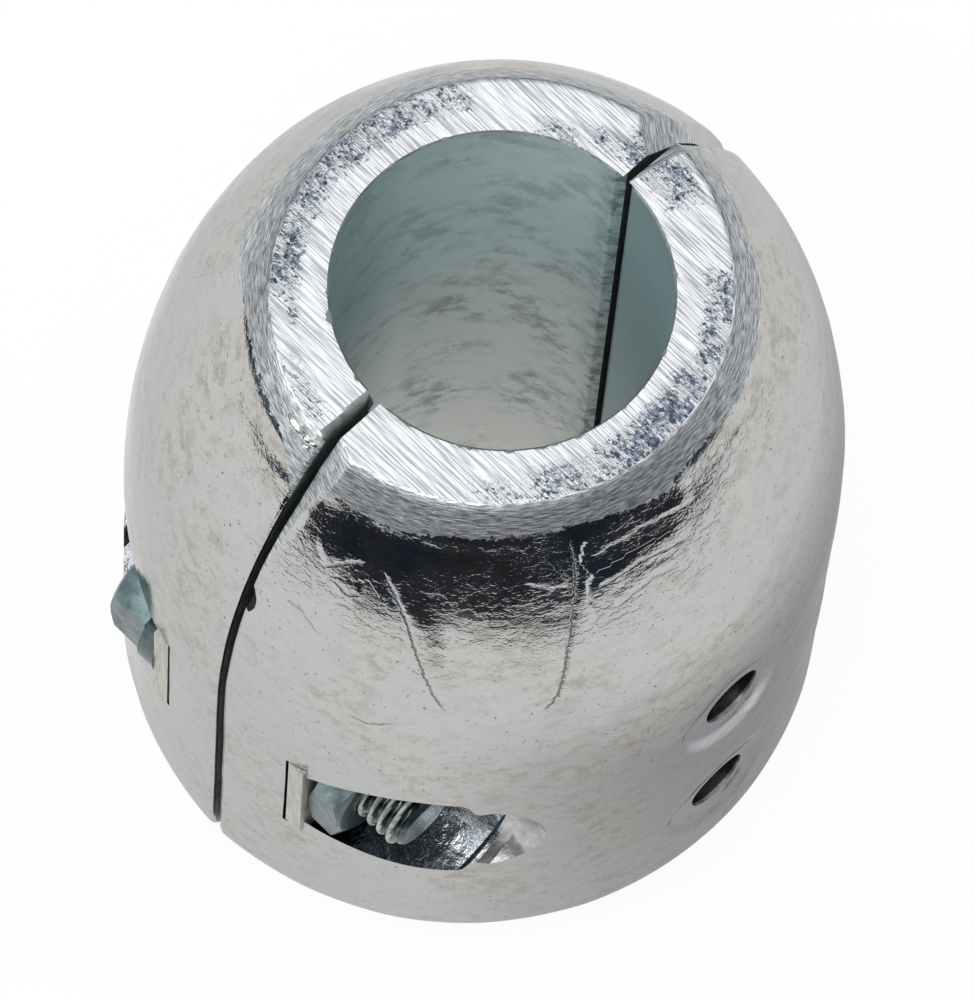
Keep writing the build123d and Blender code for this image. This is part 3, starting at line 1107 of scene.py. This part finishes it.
def floor_material():
    """The table's white glow, dark past the table's end and in the collar's own contact shade."""
    s = Shader("floor", (0.8, 0.8, 0.8), 0.0, 0.9)
    place = s.add("ShaderNodeTexCoord").outputs["Object"]

    def along(angle):
        inputs = {0: place, 1: level_direction(angle)}
        return s.add("ShaderNodeVectorMath", inputs, operation="DOT_PRODUCT").outputs["Value"]

    ahead = along(OPEN_SIDE)
    reach = s.add("ShaderNodeVectorMath", {0: place}, operation="LENGTH").outputs["Value"]
    past_front = s.range(ahead, TABLE_FRONT, TABLE_FRONT + 0.03)
    past = s.math("MAXIMUM", past_front, s.range(reach, TABLE_REACH, TABLE_REACH + 0.1))
    path = s.add("ShaderNodeLightPath")
    seen = path.outputs["Is Camera Ray"]
    off_table = s.math("MULTIPLY", past, s.math("SUBTRACT", 1.0, seen))
    beside = s.range(along(SHADE_SIDE), 0.0, SHADE_SOFT)
    close = s.range(reach, SHADE_REACH, SHADE_REACH + SHADE_SOFT, 1.0, 0.0)
    unseen = s.math("SUBTRACT", 0.5, s.math("MULTIPLY", seen, 0.5))
    shaded = s.math("MULTIPLY", s.math("MULTIPLY", beside, close), unseen)
    mirrored = s.math("MAXIMUM", path.outputs["Is Glossy Ray"], path.outputs["Is Transmission Ray"])
    mirrored_glow = s.range(mirrored, 0.0, 1.0, TABLE_GLOW, MIRRORED_GLOW)
    table_glow = s.math("MAXIMUM", mirrored_glow, s.math("MULTIPLY", seen, SEEN_GLOW))
    glow = s.add("ShaderNodeEmission", {"Color": (1, 1, 1, 1), "Strength": GLOW_STRENGTH})
    lit = s.add("ShaderNodeMixShader", {0: table_glow, 1: s.bsdf.outputs[0], 2: glow.outputs[0]})
    patches = s.noise(place, 1 / 12, 1.0, 0.5)
    tint = s.mix(s.range(patches, 0.55, 0.59), (0.012, 0.026, 0.042), (0.06, 0.032, 0.028))
    dark = s.add("ShaderNodeEmission", {"Color": tint, "Strength": 1.0})
    gloom = s.math("MAXIMUM", off_table, shaded)
    both = s.add("ShaderNodeMixShader", {0: gloom, 1: lit.outputs[0], 2: dark.outputs[0]})
    s.links.new(both.outputs[0], s.nodes["Material Output"].inputs["Surface"])
    return s.material


def studio():
    """A lit white table that ends a little way towards the camera, a light tent and soft lights."""
    bpy.ops.mesh.primitive_plane_add(size=3)
    floor = bpy.context.object
    floor.name = "floor"
    floor.data.materials.append(floor_material())
    room()
    for spec in LIGHTS:
        area_light(*spec)


# ---- The scene ----

add_camera()
# The back half's bore: its mouth colour, then a paler colour deep down that is painted light.
bore_zinc = bore_wall("bore_wall", (0.74, 0.88, 0.86), (1.0, 0.98, 0.92), 0.9)
# The front half's bore: a darker copy of the same wall, a painted shade, with fewer smears.
shaded_smooth_bore = bore_wall("shaded_smooth_bore", (0.42, 0.56, 0.57), (0.5, 0.62, 0.63), 0.2)
ring_zinc = sawn_ring()
skin_zinc = outer_zinc()
# Painted shade: the faces in the seam's gap, the rounded end of the back half's ring and the edge
# of the bore's mouth are dark grey.
shaded_seam_zinc = plain_zinc("shaded_seam_face", (0.34, 0.37, 0.36), 0.5, 1.2, 0.1)
pocket_zinc = plain_zinc("pocket_wall", (0.6, 0.64, 0.68), 0.15, 1.3, 0.16)
runout_zinc = plain_zinc("runout", (0.66, 0.65, 0.63), 0.3, 1.5, 0.1)
# Painted shade: the walls of the bolt holes, lug gaps, pin holes and the nick are near black, as
# deep recesses.
shaded_hole_zinc = plain_zinc("shaded_hole_wall", (0.05, 0.05, 0.05), 0.4, 1.5, 0.1)
bead_zinc = plain_zinc("spatter", (0.92, 0.92, 0.9), 0.16, 0.5, 0.04)
dish_zinc = plain_zinc("pin_dish", (0.3, 0.31, 0.32), 0.4, 1.5, 0.05)
steel = plated_steel()
crest_wear_and_glint_steel = crest_wear_and_glint()
casting("front_half", 3.0, False, shaded_smooth_bore)
casting("back_half", 17.0, True, bore_zinc)
for name, side in (("left_bolt", -1), ("right_bolt", 1)):
    add_bolt(name, side, steel)
for name in ("left_nut", "right_nut", "left_spring_washer", "right_spring_washer"):
    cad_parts[name].material_slots[0].material = steel
strap_shade = strap_steel()
for name in ("front_strap", "back_strap"):
    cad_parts[name].material_slots[0].material = strap_shade
studio()
bpy.context.scene.view_settings.view_transform = "Standard"
